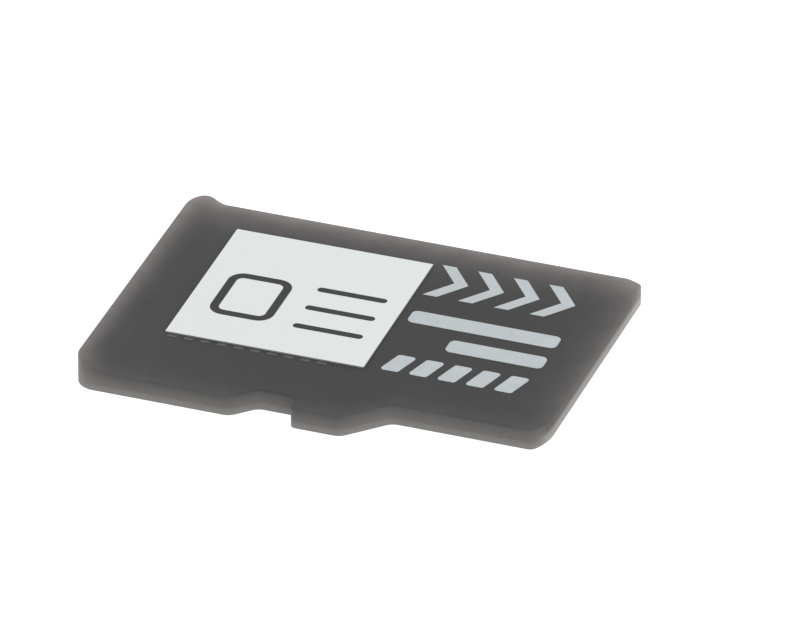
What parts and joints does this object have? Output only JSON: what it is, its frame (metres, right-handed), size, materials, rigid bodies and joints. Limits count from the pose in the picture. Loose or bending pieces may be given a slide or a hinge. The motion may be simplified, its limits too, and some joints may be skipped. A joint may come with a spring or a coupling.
{
  "type": "memory card",
  "caption": "Thin flash memory card with a stepped, notched side, a finger lip across the grip end of its label face and a row of flat contacts on its back.",
  "frame": {"origin": "middle of the card's flat back, at the bottom centre of its box", "axes": "+X along the card to its contact end, which goes into the socket first; +Y across the card, away from its notched side; +Z out of the label face"},
  "size_m": [0.015, 0.011, 0.001],
  "materials": {
    "black_resin": "matt moulded epoxy, rubbed paler along its edges",
    "board_laminate": "black solder mask, with a paler cut edge",
    "contact_gold": "gold plating, wiped by the socket's springs",
    "via_copper": "plated copper",
    "silicon": "polished silicon",
    "die_film": "adhesive film",
    "bond_gold": "gold",
    "solder": "tin solder",
    "capacitor_ceramic": "fired ceramic with tinned ends",
    "sticker_paper": "plain white paper",
    "label_ink": "pale grey screen ink on the label face",
    "marking_ink": "black ink on the sticker"
  },
  "bodies": {
    "root": {"moulded_body": "black_resin", "circuit_board": "board_laminate", "contact_data_2": "contact_gold", "contact_data_3": "contact_gold", "contact_command": "contact_gold", "contact_supply": "contact_gold", "contact_clock": "contact_gold", "contact_ground": "contact_gold", "contact_data_0": "contact_gold", "contact_data_1": "contact_gold", "contact_vias": "via_copper", "flash_die_lower": "silicon", "flash_die_upper": "silicon", "controller_die": "silicon", "flash_film_lower": "die_film", "flash_film_upper": "die_film", "controller_film": "die_film", "flash_bond_fingers": "bond_gold", "controller_bond_fingers": "bond_gold", "flash_wires_lower": "bond_gold", "flash_wires_upper": "bond_gold", "controller_wires": "bond_gold", "solder_joints": "solder", "capacitor_supply": "capacitor_ceramic", "capacitor_core": "capacitor_ceramic", "capacitor_flash": "capacitor_ceramic", "paper_sticker": "sticker_paper"}
  },
  "joints": []
}
